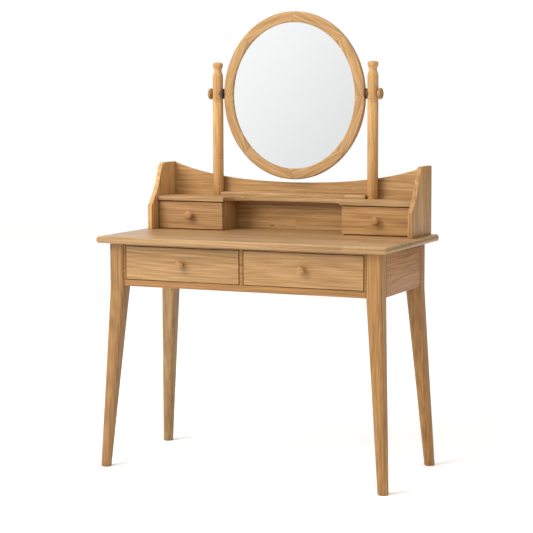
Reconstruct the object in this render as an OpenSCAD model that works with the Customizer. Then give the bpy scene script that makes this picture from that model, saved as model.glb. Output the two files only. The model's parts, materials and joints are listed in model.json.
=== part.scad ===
// Vanity table with mirror: writing-height table, two main drawers, a low hutch
// with two small drawers, and an oval mirror that tilts between two turned posts.
// Millimetres, +Z up, front faces -Y, origin on the floor under the middle of the top.

/* [Tabletop] */
// Width of the tabletop, left to right
top_width = 1000; // [840:10:1200]
// Depth of the tabletop, front to back
top_depth = 490; // [430:5:600]
// Height of the tabletop's upper face
top_height = 755; // [620:5:910]
// Thickness of the tabletop
top_thickness = 22; // [18:1:25]

/* [Legs] */
// Side of the rounded square leg at its top
leg_size = 51; // [42:1:62]
// Diameter of the round foot
foot_diameter = 34; // [28:1:41]
// Distance from the tabletop's side edge to the leg
leg_inset_side = 31; // [25:1:60]
// Distance from the tabletop's front edge to the leg
leg_inset_front = 37; // [30:1:60]
// Distance from the tabletop's back edge to the leg
leg_inset_back = 50; // [30:1:60]
// How far each foot splays out to the side
splay_side = 39; // [0:1:47]
// How far each foot splays to the front or back
splay_depth = 40; // [0:1:48]

/* [Aprons and rails] */
// Height of the aprons
apron_depth = 139; // [117:1:165]
// Thickness of the aprons
apron_thickness = 18; // [15:1:22]
// Height of the rail under the drawers
rail_height = 21; // [17:1:25]
// Thickness of the upright between the main drawers
divider_thickness = 12; // [10:1:16]
// Visible width of the stile beside each leg
stile_width = 6; // [4:1:10]

/* [Main drawers] */
// Length of a main drawer, front to back
main_drawer_length = 340; // [285:5:350]
// Thickness of a main drawer front
main_front_thickness = 18; // [15:1:22]
// Thickness of a main drawer's sides and back
main_side_thickness = 12; // [10:1:14]

/* [Hutch] */
// Distance from the tabletop's side edge to the hutch side
hutch_inset = 28; // [10:1:60]
// Depth of the hutch side at its foot
hutch_depth = 184; // [165:1:220]
// Height of the hutch side
hutch_height = 222; // [200:1:260]
// Height of the upright front edge of the hutch side
side_front_height = 82; // [70:1:98]
// Thickness of the hutch side
hutch_side_thickness = 16; // [13:1:19]
// Thickness of the hutch back
hutch_back_thickness = 10; // [8:1:12]
// Height of the back's top edge at its middle
back_middle_height = 158; // [132:1:190]
// Height of the shelf's upper face above the tabletop
shelf_height = 111; // [94:1:124]
// Thickness of the shelf
shelf_thickness = 15; // [13:1:18]
// Half width of the cut-out in the shelf above the open recess
recess_half_width = 208; // [175:1:235]
// Thickness of the small upright beside the recess
small_divider_thickness = 10; // [8:1:12]
// Depth of the shelf's narrow middle part
shelf_middle_depth = 52; // [46:1:62]
// Radius of the curved inner corner of the shelf
shelf_corner_radius = 68; // [30:1:70]

/* [Small drawers] */
// Thickness of a small drawer front
small_front_thickness = 16; // [13:1:19]
// Thickness of a small drawer's sides and back
small_side_thickness = 9; // [8:1:11]

/* [Mirror and posts] */
// Overall width of the oval mirror frame
mirror_width = 509; // [425:1:520]
// Overall height of the oval mirror frame
mirror_height = 554; // [465:1:560]
// Width of the frame's face
frame_face = 36; // [30:1:44]
// Thickness of the mirror frame
frame_thickness = 18; // [16:1:21]
// Diameter of a turned post
post_diameter = 36; // [30:1:44]
// Height of the pivot above the hutch shelf
pivot_height = 342; // [315:1:400]
// Height of the post above the pivot
post_head_height = 106; // [90:1:130]
// Height of the pivot above the mirror's centre
pivot_offset = 6.5; // [0:0.5:10]
// Diameter of the clamp knob on each post
clamp_diameter = 38; // [32:1:44]
// Thickness of the clamp knob
clamp_length = 13; // [10:1:16]

/* [Drawer knobs] */
// Diameter of a drawer knob's head
knob_diameter = 28; // [23:1:34]
// How far a drawer knob stands out
knob_length = 25; // [21:1:30]

/* [Hidden] */
$fn = 64;
show = 0.01;                 // small overlap for cutters that pass a face
seat = 0.15;                 // clearance of glued and screwed pieces in their seats
run_gap = 0.5;               // clearance under a drawer
drawer_gap = 2.5;            // gap beside a drawer
front_gap = 2;               // gap above and below a main drawer front
batten_height = 7.5;         // batten glued under the top behind its nose
batten_width = 20;
frame_setback = 6;           // frame front behind the leg's front face
apron_setback = 1.5;         // apron behind the leg's outer face
leg_corner = 7;              // rounding of the leg's corners
tenon_length = 16;
tenon_thickness = 8;
tenon_shoulder = 10;
foot_chamfer = 2.5;
taper_start = 8;             // the leg starts to taper this far under the aprons
hull_sides = 32;

leg_x = top_width / 2 - leg_inset_side - leg_size / 2;
leg_front_y = -top_depth / 2 + leg_inset_front + leg_size / 2;
leg_back_y = top_depth / 2 - leg_inset_back - leg_size / 2;
leg_inner_x = leg_x - leg_size / 2;
under_top = top_height - top_thickness;
apron_bottom = under_top - apron_depth;
frame_y = leg_front_y - leg_size / 2 + frame_setback;
apron_outer_x = leg_x + leg_size / 2 - apron_setback;
apron_inner_x = apron_outer_x - apron_thickness;
side_apron_front = leg_front_y + leg_size / 2;
side_apron_back = leg_back_y - leg_size / 2;
back_apron_outer = leg_back_y + leg_size / 2 - apron_setback;
back_apron_inner = back_apron_outer - apron_thickness;
rail_top = apron_bottom + rail_height;
rail_depth = leg_size - frame_setback - 4;
guide_x = leg_inner_x - stile_width;
guide_height = 28;
runner_reach = 17;
centre_runner_half = 22;

hutch_x = top_width / 2 - hutch_inset;
hutch_inner_x = hutch_x - hutch_side_thickness;
hutch_rear_y = top_depth / 2 - 2;
hutch_front_y = hutch_rear_y - hutch_depth;
back_face_y = hutch_rear_y - hutch_back_thickness;
shelf_top = top_height + shelf_height;
shelf_under = shelf_top - shelf_thickness;
shelf_front_y = hutch_front_y + 39;
small_face_y = shelf_front_y + 7;
shelf_middle_y = back_face_y - shelf_middle_depth;
ledge_thickness = 12;
ledge_depth = shelf_middle_depth - 8;
small_divider_x = recess_half_width + 6;
small_clear_low = small_divider_x + small_divider_thickness;
small_box_x = small_clear_low + drawer_gap - 1;

scoop_start = 43;            // direction of the side's curve at its foot, degrees
scoop_end = 74;
scoop_corner = 32;
scoop_radius = (hutch_height - side_front_height - scoop_corner * (1 - cos(scoop_end)))
    / (cos(scoop_start) - cos(scoop_end));
scoop_steps = 10;

mirror_half = mirror_width / 2;
mirror_half_height = mirror_height / 2;
spacer_thickness = 4.5;
spacer_diameter = 34;
saddle_diameter = 30;
saddle_thickness = 2.6;
spacer_gap = 0.4;
post_x = mirror_half + spacer_gap + spacer_thickness + saddle_thickness + post_diameter / 2;
post_y = back_face_y - 3 - post_diameter / 2;
pivot_z = shelf_top + pivot_height;
mirror_z = pivot_z - pivot_offset;
mirror_front_y = post_y - frame_thickness / 2;
glass_thickness = 4;
glass_setback = 6;
rebate = 8;
backing_thickness = 5;
ring_steps = 96;
frame_soft = 2.5;
bolt_diameter = 6;
bolt_fit = 0.08;
insert_diameter = 10;
insert_length = 14;
insert_depth = 0.8;
post_bolt_depth = insert_depth + insert_length - 1;

screw_diameter = 4;
screw_head = 8;
screw_head_height = 2.6;
knob_screw_depth = 12;

main_drawer = [divider_thickness / 2 + drawer_gap, guide_x - drawer_gap, frame_y - 1,
    rail_top + front_gap, under_top - batten_height - front_gap, rail_top + run_gap,
    apron_depth - rail_height - 14, main_drawer_length, main_front_thickness,
    main_side_thickness, 5, 0];
small_drawer = [small_box_x, hutch_inner_x - drawer_gap - 1, small_face_y,
    top_height + 2.5, shelf_under - 3, top_height + run_gap,
    shelf_height - shelf_thickness - 14, back_face_y - 4 - small_face_y,
    small_front_thickness, small_side_thickness, 4, small_box_x - small_divider_x - 0.5];

// Which piece to draw

oak = [0.78, 0.60, 0.40];
dark_oak = [0.68, 0.50, 0.32];
pale_wood = [0.84, 0.72, 0.54];
steel = [0.62, 0.62, 0.64];
black_rubber = [0.10, 0.10, 0.11];
brass = [0.72, 0.58, 0.28];

// ---- shared shapes ----
module box(x0, x1, y0, y1, z0, z1) {
    translate([x0, y0, z0]) cube([x1 - x0, y1 - y0, z1 - z0]);
}

module flipped(side) {
    if (side < 0) mirror([1, 0, 0]) children(); else children();
}

module along_x(x0, x1, y, z, d) {
    translate([x0, y, z]) rotate([0, 90, 0]) cylinder(h = x1 - x0, d = d);
}

module along_y(x, y0, y1, z, d) {
    translate([x, y0, z]) rotate([-90, 0, 0]) cylinder(h = y1 - y0, d = d);
}

module rounded_square(size, r) {
    square([size - 2 * r, size], center = true);
    square([size, size - 2 * r], center = true);
    for (x = [-1, 1], y = [-1, 1])
        translate([x * (size / 2 - r), y * (size / 2 - r)]) circle(r = r);
}

// ---- tabletop ----
module top_section(length, nose) {
    square([length - 2 * nose, top_thickness], center = true);
    for (s = [-1, 1]) translate([s * (length / 2 - nose), 0]) circle(r = nose);
}

module top_slab() {
    translate([0, 0, top_height - top_thickness / 2]) intersection() {
        translate([0, top_depth / 2, 0]) rotate([90, 0, 0])
            linear_extrude(top_depth) top_section(top_width, top_thickness / 2);
        translate([-top_width / 2, 0, 0]) rotate([90, 0, 90])
            linear_extrude(top_width) union() {
                translate([-top_depth / 4, 0])
                    top_section(top_depth / 2, top_thickness / 2);
                translate([top_depth / 8, 0])
                    square([top_depth * 3 / 4, top_thickness], center = true);
            }
    }
}

module tabletop() {
    color(oak) difference() {
        union() {
            top_slab();
            for (s = [-1, 1]) flipped(s)
                box(divider_thickness / 2 + seat, guide_x - seat, frame_y,
                    frame_y + batten_width, under_top - batten_height, under_top + 2);
        }
        bracket_screw_set(seat);
    }
}

// ---- legs ----
function leg_y(back) = back ? leg_back_y : leg_front_y;

module leg(side, back) {
    foot_y = back ? splay_depth : -splay_depth;
    color(oak) flipped(side) difference() {
        translate([leg_x, leg_y(back), 0]) union() {
            translate([0, 0, apron_bottom - taper_start])
                linear_extrude(under_top - apron_bottom + taper_start)
                    rounded_square(leg_size, leg_corner);
            hull() {
                translate([0, 0, apron_bottom - taper_start - 1]) linear_extrude(1)
                    rounded_square(leg_size, leg_corner, $fn = hull_sides);
                translate([splay_side, foot_y, foot_chamfer])
                    cylinder(h = 1, d = foot_diameter, $fn = hull_sides);
                translate([splay_side, foot_y, 0])
                    cylinder(h = 1, d = foot_diameter - 2 * foot_chamfer, $fn = hull_sides);
            }
        }
        side_tenon(back, seat);
        if (back) back_tenon(seat); else rail_tenon(seat);
    }
}

// ---- tenons, drawn on the right side and mirrored ----
module side_tenon(back, extra) {
    y = back ? side_apron_back : side_apron_front;
    x = apron_outer_x - apron_thickness / 2;
    reach = tenon_length + extra;
    half = tenon_thickness / 2 + extra;
    box(x - half, x + half, back ? y - show : y - reach, back ? y + reach : y + show,
        apron_bottom + tenon_shoulder - extra, under_top - tenon_shoulder + extra);
}

module back_tenon(extra) {
    y = (back_apron_outer + back_apron_inner) / 2;
    half = tenon_thickness / 2 + extra;
    box(leg_inner_x - show, leg_inner_x + tenon_length - 4 + extra, y - half, y + half,
        apron_bottom + tenon_shoulder - extra, under_top - tenon_shoulder + extra);
}

module rail_tenon(extra) {
    y = frame_y + rail_depth / 2;
    half = tenon_thickness / 2 + extra;
    box(leg_inner_x - show, leg_inner_x + tenon_length - 4 + extra, y - half, y + half,
        apron_bottom + 5 - extra, rail_top - 5 + extra);
}

// ---- frame under the top ----
module front_rail() {
    color(oak) union() {
        box(-leg_inner_x, leg_inner_x, frame_y, frame_y + rail_depth, apron_bottom, rail_top);
        for (s = [-1, 1]) flipped(s) rail_tenon(0);
    }
}

module centre_divider() {
    half = divider_thickness / 2;
    color(oak) box(-half, half, frame_y, back_apron_inner, rail_top, under_top);
}

module side_apron(side) {
    color(oak) flipped(side) difference() {
        union() {
            box(apron_inner_x, apron_outer_x, side_apron_front, side_apron_back,
                apron_bottom, under_top);
            side_tenon(false, 0);
            side_tenon(true, 0);
        }
        bracket_screw_set(seat);
    }
}

module back_apron() {
    color(oak) difference() {
        union() {
            box(-leg_inner_x, leg_inner_x, back_apron_inner, back_apron_outer,
                apron_bottom, under_top);
            for (s = [-1, 1]) flipped(s) back_tenon(0);
        }
        bracket_screw_set(seat);
    }
}

// ---- drawer runners ----
module side_runner(side) {
    color(oak) flipped(side) union() {
        box(guide_x - runner_reach, apron_inner_x, side_apron_front, side_apron_back,
            apron_bottom + 1, rail_top);
        box(guide_x, apron_inner_x, side_apron_front, side_apron_back,
            rail_top - show, rail_top + guide_height);
        box(guide_x, leg_inner_x, frame_y, side_apron_front + 30, rail_top, under_top);
    }
}

module centre_runner() {
    color(pale_wood) box(-centre_runner_half, centre_runner_half, frame_y + rail_depth,
        back_apron_inner, apron_bottom + 1, rail_top);
}

// ---- steel brackets that hold the top ----
bracket_size = 18;
bracket_width = 16;
bracket_sheet = 2;
side_bracket_y = [side_apron_front + 60, side_apron_back - 60];
back_bracket_x = top_width / 4 - 20;

module bracket(cut) {
    difference() {
        union() {
            box(-bracket_size, 0, -bracket_width / 2, bracket_width / 2, -bracket_sheet, 0);
            box(-bracket_sheet, 0, -bracket_width / 2, bracket_width / 2, -bracket_size, 0);
        }
        bracket_screws_at(cut);
    }
}

module bracket_screws_at(extra) {
    d = 3.4 + 2 * extra;
    translate([-bracket_size + 7, 0, -bracket_sheet - 1.4 - extra]) {
        cylinder(h = 14 + extra, d = d);
        cylinder(h = 1.4 + extra, d = 6.4 + 2 * extra);
    }
    translate([-bracket_sheet - 1.4 - extra, 0, -bracket_size + 6]) rotate([0, 90, 0]) {
        cylinder(h = 14 + extra, d = d);
        cylinder(h = 1.4 + extra, d = 6.4 + 2 * extra);
    }
}

module at_brackets() {
    for (s = [-1, 1]) {
        flipped(s) for (y = side_bracket_y)
            translate([apron_inner_x, y, under_top]) children();
        flipped(s) translate([back_bracket_x, back_apron_inner, under_top])
            rotate([0, 0, 90]) children();
    }
}

module top_brackets() {
    color(steel) at_brackets() bracket(seat);
}

module bracket_screw_set(extra) {
    at_brackets() bracket_screws_at(extra);
}

module bracket_screws() {
    color(steel) bracket_screw_set(0);
}

// ---- hutch ----
function scoop_point(t) = let (a = scoop_start + (scoop_end - scoop_start) * t)
    [scoop_radius * (sin(a) - sin(scoop_start)), scoop_radius * (cos(scoop_start) - cos(a))];

module hutch_side_outline() {
    last = scoop_point(1);
    corner_y = last[0] + scoop_corner * sin(scoop_end);
    polygon(concat(
        [[0, 0], [0, side_front_height - 5], [1, side_front_height - 2]],
        [for (i = [0:scoop_steps]) let (p = scoop_point(i / scoop_steps))
            [p[0] + (i == 0 ? 2.2 : 0), p[1] + side_front_height + (i == 0 ? 1.6 : 0)]],
        [for (i = [1:7]) let (a = scoop_end * (1 - i / 7))
            [corner_y - scoop_corner * sin(a), hutch_height - scoop_corner * (1 - cos(a))]],
        [[hutch_depth - 4, hutch_height], [hutch_depth, hutch_height - 4],
            [hutch_depth, 0]]));
}

module hutch_side(side) {
    color(oak) flipped(side) translate([hutch_inner_x, hutch_front_y, top_height])
        rotate([90, 0, 90]) linear_extrude(hutch_side_thickness) hutch_side_outline();
}

// The back's top edge: a shallow sag, steeper toward the sides
back_end_height = hutch_height - 3;
function back_edge(u) = back_middle_height
    + (back_end_height - back_middle_height) * (0.66 * u * u + 0.34 * pow(u, 4));

module hutch_back() {
    steps = 24;
    color(oak) translate([0, hutch_rear_y, top_height]) rotate([90, 0, 0])
        linear_extrude(hutch_back_thickness) polygon(concat(
            [[hutch_inner_x, 0], [-hutch_inner_x, 0]],
            [for (i = [-steps:steps]) let (u = i / steps)
                [u * hutch_inner_x, back_edge(abs(u))]]));
}

module shelf_outline() {
    r = shelf_corner_radius;
    difference() {
        translate([-hutch_inner_x, shelf_front_y])
            square([2 * hutch_inner_x, back_face_y - shelf_front_y]);
        difference() {
            translate([-recess_half_width, shelf_front_y - 1])
                square([2 * recess_half_width, shelf_middle_y - shelf_front_y + 1]);
            for (s = [-1, 1]) translate([s * (recess_half_width - r), shelf_middle_y - r])
                difference() {
                    translate([s > 0 ? 0 : -r - 1, 0]) square([r + 1, r + 1]);
                    circle(r = r, $fn = 96);
                }
        }
    }
}

module hutch_shelf() {
    color(oak) difference() {
        translate([0, 0, shelf_under]) linear_extrude(shelf_thickness) shelf_outline();
        post_screw_set(seat);
    }
}

module hutch_ledge() {
    half = post_x - post_diameter / 2 - 0.2;
    color(oak) box(-half, half, back_face_y - ledge_depth, back_face_y,
        shelf_top, shelf_top + ledge_thickness);
}

module small_divider(side) {
    color(oak) flipped(side) box(small_divider_x, small_clear_low,
        small_face_y + small_front_thickness + 1, back_face_y, top_height, shelf_under);
}

// ---- posts ----
module post_profile() {
    r = post_diameter / 2;
    h = pivot_height + post_head_height;
    ring = pivot_height - 24;
    polygon([[0, 0], [r - 1, 0], [r, 1], [r, ring - 4], [r - 1.2, ring - 2.6], [r, ring - 1.2],
        [r, ring + 1.2], [r - 1.2, ring + 2.6], [r, ring + 4], [r, h - 47],
        [r * 0.91, h - 41], [r * 0.78, h - 34], [r * 0.73, h - 28], [r * 0.75, h - 24],
        [r * 0.85, h - 20], [r * 0.96, h - 15], [r, h - 10], [r * 0.97, h - 6],
        [r * 0.82, h - 2.4], [r * 0.5, h - 0.5], [0, h]]);
}

module mirror_post(side) {
    color(oak) flipped(side) difference() {
        translate([post_x, post_y, shelf_top]) rotate_extrude() post_profile();
        along_x(post_x - post_diameter, post_x + post_diameter, post_y, pivot_z,
            bolt_diameter + 2 * bolt_fit);
        post_screw_set(seat);
    }
}

module post_screw_set(extra) {
    for (s = [-1, 1]) translate([s * post_x, post_y, shelf_under - (extra > 0 ? show : 0)]) {
        cylinder(h = 55 + extra, d = 5 + 2 * extra);
        cylinder(h = 3.5 + extra, d1 = 10 + 2 * extra, d2 = 5 + 2 * extra);
    }
}

module post_screws() {
    color(steel) post_screw_set(0);
}

// ---- pivot hardware, drawn on the right side and mirrored ----
spacer_x = mirror_half + spacer_gap;
saddle_x = spacer_x + spacer_thickness;

module pivot_washers() {
    color(black_rubber) for (s = [-1, 1]) flipped(s) difference() {
        along_x(spacer_x, saddle_x, post_y, pivot_z, spacer_diameter);
        along_x(spacer_x - 1, saddle_x + 1, post_y, pivot_z, bolt_diameter + 2 * bolt_fit);
    }
}

module pivot_saddles() {
    color(dark_oak) for (s = [-1, 1]) flipped(s) difference() {
        along_x(saddle_x, post_x, post_y, pivot_z, saddle_diameter);
        translate([post_x, post_y, pivot_z - 30]) cylinder(h = 60, d = post_diameter);
        along_x(saddle_x - 1, post_x, post_y, pivot_z, bolt_diameter + 2 * bolt_fit);
    }
}

clamp_x = post_x + post_diameter / 2 + 0.4;
bolt_tip_x = mirror_half - post_bolt_depth;

module clamp_knob(side) {
    r = clamp_diameter / 2;
    l = clamp_length;
    color(oak) flipped(side) difference() {
        translate([clamp_x, post_y, pivot_z]) rotate([0, 90, 0]) rotate_extrude()
            polygon([[0, 0], [r - 6, 0], [r - 5, 2], [r - 1.5, 3.5], [r, 5.5], [r, l - 3.5],
                [r - 1, l - 1.5], [r - 3.5, l], [0, l]]);
        along_x(clamp_x - 1, clamp_x + l - 6, post_y, pivot_z, bolt_diameter + 2 * seat);
    }
}

module clamp_bolt(side) {
    color(steel) flipped(side)
        along_x(bolt_tip_x, clamp_x + clamp_length - 6, post_y, pivot_z, bolt_diameter);
}

// ---- mirror ----
module oval(grow) {
    polygon([for (i = [0:ring_steps - 1]) let (a = 360 * i / ring_steps)
        [(mirror_half + grow) * cos(a), (mirror_half_height + grow) * sin(a)]]);
}

// An oval slab standing upright, y0 and y1 measured back from the frame's front face
module oval_slab(grow, y0, y1) {
    translate([0, mirror_front_y + y1, mirror_z]) rotate([90, 0, 0])
        linear_extrude(y1 - y0) oval(grow);
}

module mirror_frame() {
    t = frame_thickness;
    color(oak) difference() {
        hull() {
            oval_slab(-frame_soft, 0, 1);
            oval_slab(0, frame_soft, t - frame_soft);
            oval_slab(-frame_soft, t - 1, t);
        }
        oval_slab(-frame_face, -1, t + 1);
        hull() {
            oval_slab(-frame_face, glass_setback - 3, glass_setback - 2);
            oval_slab(-frame_face + 3, -1, 0);
        }
        oval_slab(-frame_face + rebate, glass_setback, t + 1);
        insert_set(seat);
        backing_screw_set(seat);
    }
}

module mirror_glass() {
    color([0.86, 0.90, 0.92]) oval_slab(-frame_face + rebate - 0.4, glass_setback,
        glass_setback + glass_thickness);
}

module mirror_backing() {
    y = glass_setback + glass_thickness;
    color(dark_oak) difference() {
        oval_slab(-frame_face + rebate - 0.4, y, y + backing_thickness);
        backing_screw_set(seat);
    }
}

module insert_set(extra) {
    for (s = [-1, 1]) flipped(s) along_x(mirror_half - insert_depth - insert_length - extra,
        mirror_half - insert_depth + (extra > 0 ? 3 : 0), post_y, pivot_z,
        insert_diameter + 2 * extra);
}

module pivot_inserts() {
    color(brass) difference() {
        insert_set(0);
        for (s = [-1, 1]) flipped(s) along_x(mirror_half - 40, mirror_half + 1, post_y, pivot_z,
            bolt_diameter + 2 * bolt_fit);
    }
}

// Small turn-button screws whose wide heads overlap the backing board
module backing_screw_set(extra) {
    rim = frame_face - rebate - 4.5;
    y = mirror_front_y + glass_setback + glass_thickness + backing_thickness;
    for (a = [22.5:45:359])
        translate([(mirror_half - rim) * cos(a), 0, mirror_z + (mirror_half_height - rim) * sin(a)]) {
            along_y(0, y - 7 - extra, y + 1, 0, 2.6 + 2 * extra);
            along_y(0, y, y + 1.6 + (extra > 0 ? 9 : 0), 0, 12 + 2 * extra);
        }
}

module backing_screws() {
    color(steel) backing_screw_set(0);
}

// ---- drawers: d = [x0, x1, face y, front z0, front z1, run z, side height, length,
//      front thickness, side thickness, bottom thickness, how far the front laps past x0] ----
groove_depth = 4;
bottom_lift = 8;

module drawer_bottom_slab(d, extra) {
    inner0 = d[0] + d[9] - groove_depth - extra;
    inner1 = d[1] - d[9] + groove_depth + extra;
    front = d[2] + d[8] - groove_depth - extra;
    z = d[5] + bottom_lift;
    box(inner0, inner1, front, d[2] + d[7] + (extra > 0 ? 1 : 0), z - extra, z + d[10] + extra);
}

module knob_screw_shape(d, extra) {
    x = (d[0] - d[11] + d[1]) / 2;
    z = (d[3] + d[4]) / 2;
    inside = d[2] + d[8];
    along_y(x, d[2] - knob_screw_depth - extra, inside + show, z, screw_diameter + 2 * extra);
    along_y(x, inside, inside + screw_head_height, z, screw_head + 2 * extra);
}

module drawer_front(side, d) {
    edge = 1.5;
    x0 = d[0] - d[11];
    color(oak) flipped(side) difference() {
        union() {
            box(x0, d[1], d[2] + edge, d[2] + d[8], d[3], d[4]);
            box(x0 + edge, d[1] - edge, d[2], d[2] + edge, d[3] + edge, d[4] - edge);
            for (x = [x0 + edge, d[1] - edge]) translate([x, d[2] + edge, d[3] + edge])
                cylinder(h = d[4] - d[3] - 2 * edge, r = edge);
            for (z = [d[3] + edge, d[4] - edge])
                along_x(x0 + edge, d[1] - edge, d[2] + edge, z, 2 * edge);
        }
        drawer_bottom_slab(d, seat);
        knob_screw_shape(d, seat);
    }
}

module drawer_sides(side, d) {
    color(pale_wood) flipped(side) difference() {
        for (x = [d[0], d[1] - d[9]])
            box(x, x + d[9], d[2] + d[8], d[2] + d[7], d[5], d[5] + d[6]);
        drawer_bottom_slab(d, seat);
    }
}

module drawer_back(side, d) {
    color(pale_wood) flipped(side) box(d[0] + d[9], d[1] - d[9], d[2] + d[7] - d[9],
        d[2] + d[7], d[5] + bottom_lift + d[10], d[5] + d[6]);
}

module drawer_bottom(side, d) {
    color(pale_wood) flipped(side) drawer_bottom_slab(d, 0);
}

module drawer_knob(side, d) {
    r = knob_diameter / 2;
    l = knob_length;
    x = (d[0] - d[11] + d[1]) / 2;
    z = (d[3] + d[4]) / 2;
    color(oak) flipped(side) difference() {
        translate([x, d[2], z]) rotate([90, 0, 0]) rotate_extrude()
            polygon([[0, 0], [r * 0.62, 0], [r * 0.60, 2], [r * 0.50, l * 0.24],
                [r * 0.50, l * 0.36], [r * 0.64, l * 0.44], [r * 0.90, l * 0.52],
                [r, l * 0.64], [r * 0.98, l * 0.76], [r * 0.84, l * 0.88],
                [r * 0.56, l * 0.96], [r * 0.25, l * 0.995], [0, l]]);
        knob_screw_shape(d, seat);
    }
}

module knob_screw(side, d) {
    color(steel) flipped(side) knob_screw_shape(d, 0);
}

tabletop();
leg(-1, false);  // leg_front_left
leg(1, false);  // leg_front_right
leg(-1, true);  // leg_back_left
leg(1, true);  // leg_back_right
front_rail();
centre_divider();
side_apron(-1);  // side_apron_left
side_apron(1);  // side_apron_right
back_apron();
side_runner(-1);  // side_runner_left
side_runner(1);  // side_runner_right
centre_runner();
top_brackets();
bracket_screws();
hutch_side(-1);  // hutch_side_left
hutch_side(1);  // hutch_side_right
hutch_back();
hutch_shelf();
hutch_ledge();
small_divider(-1);  // small_divider_left
small_divider(1);  // small_divider_right
mirror_post(-1);  // mirror_post_left
mirror_post(1);  // mirror_post_right
post_screws();
pivot_washers();
pivot_saddles();
mirror_frame();
mirror_glass();
mirror_backing();
backing_screws();
pivot_inserts();
clamp_knob(-1);  // clamp_knob_left
clamp_bolt(-1);  // clamp_bolt_left
clamp_knob(1);  // clamp_knob_right
clamp_bolt(1);  // clamp_bolt_right
drawer_front(-1, main_drawer);  // main_left_front
drawer_sides(-1, main_drawer);  // main_left_sides
drawer_back(-1, main_drawer);  // main_left_back
drawer_bottom(-1, main_drawer);  // main_left_bottom
drawer_knob(-1, main_drawer);  // main_left_knob
knob_screw(-1, main_drawer);  // main_left_screw
drawer_front(1, main_drawer);  // main_right_front
drawer_sides(1, main_drawer);  // main_right_sides
drawer_back(1, main_drawer);  // main_right_back
drawer_bottom(1, main_drawer);  // main_right_bottom
drawer_knob(1, main_drawer);  // main_right_knob
knob_screw(1, main_drawer);  // main_right_screw
drawer_front(-1, small_drawer);  // small_left_front
drawer_sides(-1, small_drawer);  // small_left_sides
drawer_back(-1, small_drawer);  // small_left_back
drawer_bottom(-1, small_drawer);  // small_left_bottom
drawer_knob(-1, small_drawer);  // small_left_knob
knob_screw(-1, small_drawer);  // small_left_screw
drawer_front(1, small_drawer);  // small_right_front
drawer_sides(1, small_drawer);  // small_right_sides
drawer_back(1, small_drawer);  // small_right_back
drawer_bottom(1, small_drawer);  // small_right_bottom
drawer_knob(1, small_drawer);  // small_right_knob
knob_screw(1, small_drawer);  // small_right_screw
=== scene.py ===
import json
import math
import bpy
import bmesh
from mathutils import Matrix, Vector


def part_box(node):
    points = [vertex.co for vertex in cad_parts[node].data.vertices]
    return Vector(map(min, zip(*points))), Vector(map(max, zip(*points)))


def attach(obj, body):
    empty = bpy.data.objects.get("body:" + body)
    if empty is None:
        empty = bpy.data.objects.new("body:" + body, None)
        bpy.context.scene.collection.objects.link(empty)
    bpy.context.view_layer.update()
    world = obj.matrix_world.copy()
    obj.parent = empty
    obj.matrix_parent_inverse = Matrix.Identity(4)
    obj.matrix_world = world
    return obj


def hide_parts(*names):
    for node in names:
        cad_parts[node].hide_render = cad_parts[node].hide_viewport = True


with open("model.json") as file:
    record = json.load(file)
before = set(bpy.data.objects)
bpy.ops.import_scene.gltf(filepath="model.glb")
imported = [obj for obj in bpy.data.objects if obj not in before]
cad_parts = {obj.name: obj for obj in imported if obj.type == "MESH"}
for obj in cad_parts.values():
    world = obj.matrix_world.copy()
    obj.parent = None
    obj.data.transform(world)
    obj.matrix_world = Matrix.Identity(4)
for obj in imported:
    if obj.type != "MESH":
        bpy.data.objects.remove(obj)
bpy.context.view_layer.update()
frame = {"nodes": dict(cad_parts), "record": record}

nodes = frame["nodes"]
bodyOf = {n: b for b, members in frame["record"]["behaviour"]["bodies"].items() for n in members}
scene = bpy.context.scene
scene.view_settings.view_transform = "Standard"
print("frame loaded,", len(nodes), "pieces")

# camera, floor and light
cameraLook = {"azimuth": 24.6, "distance": 5.269, "sideways": -0.0044, "height": 1.2308,
              "downTilt": 6.25, "roll": -0.23, "lens": 110.75}
floorLook = {"size": 16.0, "color": (0.96, 0.96, 0.96)}
worldLook = {"panelLow": 0.82, "panelHigh": 1.10, "behind": 1.04, "right": 0.74,
             "rightBehind": 0.22, "above": 1.1, "rightColor": (1.0, 0.91, 0.76, 1)}
lampLook = [
    {"name": "keyLamp", "at": (-2.4, -3.4, 3.2), "aim": (0.0, 0.0, 0.8), "size": 2.4, "power": 165},
    {"name": "topLamp", "at": (-0.6, -1.2, 4.4), "aim": (0.0, 0.0, 0.8), "size": 3.0, "power": 40},
]

turn = math.radians(cameraLook["azimuth"])
cameraData = bpy.data.cameras.new("camera")
cameraData.lens = cameraLook["lens"]
cameraData.sensor_width = 36
camera = bpy.data.objects.new("camera", cameraData)
scene.collection.objects.link(camera)
camera.location = (
    cameraLook["sideways"] * math.cos(turn) + cameraLook["distance"] * math.sin(turn),
    cameraLook["sideways"] * math.sin(turn) - cameraLook["distance"] * math.cos(turn),
    cameraLook["height"])
camera.rotation_euler = (
    Matrix.Rotation(turn, 3, "Z")
    @ Matrix.Rotation(math.radians(90 - cameraLook["downTilt"]), 3, "X")
    @ Matrix.Rotation(math.radians(cameraLook["roll"]), 3, "Z")).to_euler()
scene.camera = camera


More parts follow.
